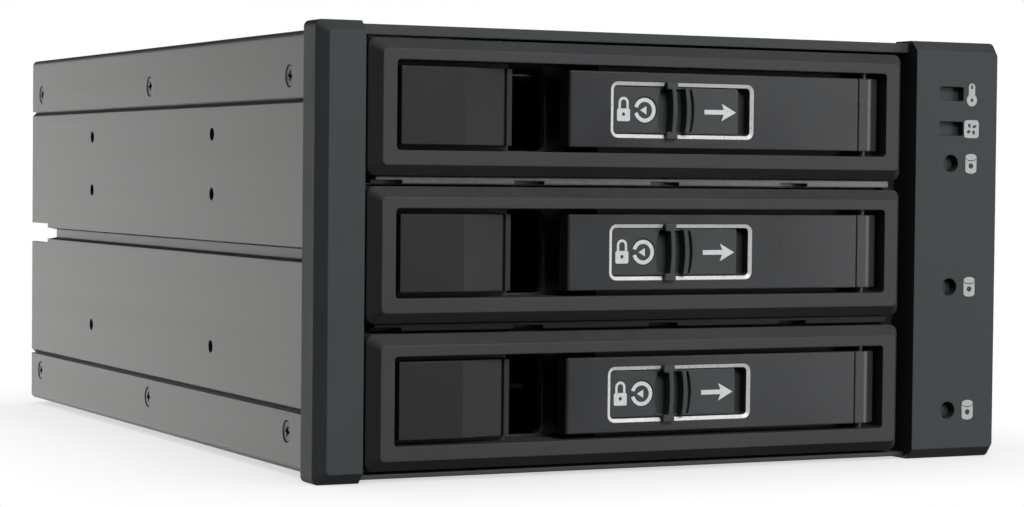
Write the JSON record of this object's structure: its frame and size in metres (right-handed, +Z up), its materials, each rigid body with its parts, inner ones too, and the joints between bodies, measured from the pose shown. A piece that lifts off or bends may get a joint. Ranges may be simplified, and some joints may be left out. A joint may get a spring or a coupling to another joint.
{
  "type": "hot swap drive cage",
  "caption": "Drive cage for 5.25-inch bays with pull-out drive trays, each with a swing lever, sliding latch and lock; backplane and fan behind.",
  "frame": {"origin": "middle of the bounding box, at its bottom", "axes": "+X right, +Y to the rear, +Z up; the tray fronts face -Y"},
  "size_m": [0.1488, 0.1888, 0.084],
  "materials": {
    "bearing_brass": "plain sleeve",
    "bezel_plastic": "fine textured charcoal moulding",
    "board": "solder masked circuit board",
    "brushed_sheet": "brushed grey anodised sheet",
    "connector_plastic": "black connector moulding",
    "dark_screw": "black countersunk screw",
    "fan_plastic": "black fan moulding",
    "guide_plastic": "black moulding",
    "inlet_plastic": "natural nylon moulding",
    "lamp": "lamp chip",
    "latch_plastic": "satin charcoal moulding",
    "lens": "smoked lens",
    "lever_plastic": "satin charcoal moulding",
    "lock_plastic": "charcoal moulding",
    "pin_steel": "ground pin",
    "spring_steel": "spring steel",
    "tray_plastic": "charcoal moulding",
    "zinc_screw": "zinc plated screw",
    "zinc_sheet": "zinc plated sheet"
  },
  "bodies": {
    "cage": {"alarm_windows": "lens", "backplane_board": "board", "bezel_screws": "zinc_screw", "board_screws": "zinc_screw", "bottom_cover": "brushed_sheet", "buzzer": "connector_plastic", "cover_screws": "dark_screw", "data_port_1": "connector_plastic", "data_port_2": "connector_plastic", "data_port_3": "connector_plastic", "drive_lenses": "lens", "drive_socket_1": "connector_plastic", "drive_socket_2": "connector_plastic", "drive_socket_3": "connector_plastic", "fan_bearing": "bearing_brass", "fan_frame": "fan_plastic", "fan_screws": "dark_screw", "front_bezel": "bezel_plastic", "lamp_board": "board", "lamp_chips": "lamp", "left_guide_wall": "guide_plastic", "left_side_panel": "brushed_sheet", "lower_divider": "zinc_sheet", "power_inlet_1": "inlet_plastic", "power_inlet_2": "inlet_plastic", "rear_panel": "brushed_sheet", "right_guide_wall": "guide_plastic", "right_side_panel": "brushed_sheet", "top_cover": "brushed_sheet", "upper_divider": "zinc_sheet"},
    "tray_1": {"tray_carrier_1": "guide_plastic", "tray_front_1": "tray_plastic", "lever_pin_1": "pin_steel", "lever_spring_1": "spring_steel"},
    "lever_1": {"lever_1": "lever_plastic", "latch_spring_1": "spring_steel"},
    "latch_1": {"latch_1": "latch_plastic", "latch_hook_1": "latch_plastic"},
    "lock_1": {"lock_rotor_1": "lock_plastic"},
    "tray_2": {"tray_carrier_2": "guide_plastic", "tray_front_2": "tray_plastic", "lever_pin_2": "pin_steel", "lever_spring_2": "spring_steel"},
    "lever_2": {"lever_2": "lever_plastic", "latch_spring_2": "spring_steel"},
    "latch_2": {"latch_2": "latch_plastic", "latch_hook_2": "latch_plastic"},
    "lock_2": {"lock_rotor_2": "lock_plastic"},
    "tray_3": {"tray_carrier_3": "guide_plastic", "tray_front_3": "tray_plastic", "lever_pin_3": "pin_steel", "lever_spring_3": "spring_steel"},
    "lever_3": {"lever_3": "lever_plastic", "latch_spring_3": "spring_steel"},
    "latch_3": {"latch_3": "latch_plastic", "latch_hook_3": "latch_plastic"},
    "lock_3": {"lock_rotor_3": "lock_plastic"},
    "fan": {"fan_rotor": "fan_plastic", "fan_shaft": "pin_steel"}
  },
  "joints": [
    {"name": "tray_slide_1", "type": "slide", "parent": "cage", "child": "tray_1", "axis": [0, -1, 0], "range_m": [0, 0.16]},
    {"name": "lever_swing_1", "type": "hinge", "parent": "tray_1", "child": "lever_1", "pos_m": [0.0433, -0.09095, 0.0689], "axis": [0, 0, 1], "range_deg": [0, 65]},
    {"name": "latch_slide_1", "type": "slide", "parent": "lever_1", "child": "latch_1", "axis": [1, 0, 0], "range_m": [0, 0.0022], "stiffness_N_per_m": 200, "springref_m": -0.002, "deforming": ["latch_spring_1"]},
    {"name": "lock_turn_1", "type": "hinge", "parent": "latch_1", "child": "lock_1", "pos_m": [-0.0069, -0.092, 0.0689], "axis": [0, 1, 0], "range_deg": [0, 90]},
    {"name": "tray_slide_2", "type": "slide", "parent": "cage", "child": "tray_2", "axis": [0, -1, 0], "range_m": [0, 0.16]},
    {"name": "lever_swing_2", "type": "hinge", "parent": "tray_2", "child": "lever_2", "pos_m": [0.0433, -0.09095, 0.04185], "axis": [0, 0, 1], "range_deg": [0, 65]},
    {"name": "latch_slide_2", "type": "slide", "parent": "lever_2", "child": "latch_2", "axis": [1, 0, 0], "range_m": [0, 0.0022], "stiffness_N_per_m": 200, "springref_m": -0.002, "deforming": ["latch_spring_2"]},
    {"name": "lock_turn_2", "type": "hinge", "parent": "latch_2", "child": "lock_2", "pos_m": [-0.0069, -0.092, 0.04185], "axis": [0, 1, 0], "range_deg": [0, 90]},
    {"name": "tray_slide_3", "type": "slide", "parent": "cage", "child": "tray_3", "axis": [0, -1, 0], "range_m": [0, 0.16]},
    {"name": "lever_swing_3", "type": "hinge", "parent": "tray_3", "child": "lever_3", "pos_m": [0.0433, -0.09095, 0.0148], "axis": [0, 0, 1], "range_deg": [0, 65]},
    {"name": "latch_slide_3", "type": "slide", "parent": "lever_3", "child": "latch_3", "axis": [1, 0, 0], "range_m": [0, 0.0022], "stiffness_N_per_m": 200, "springref_m": -0.002, "deforming": ["latch_spring_3"]},
    {"name": "lock_turn_3", "type": "hinge", "parent": "latch_3", "child": "lock_3", "pos_m": [-0.0069, -0.092, 0.0148], "axis": [0, 1, 0], "range_deg": [0, 90]},
    {"name": "fan_spin", "type": "hinge", "parent": "cage", "child": "fan", "pos_m": [-0.03, 0.084, 0.04185], "axis": [0, 1, 0], "continuous": true}
  ]
}
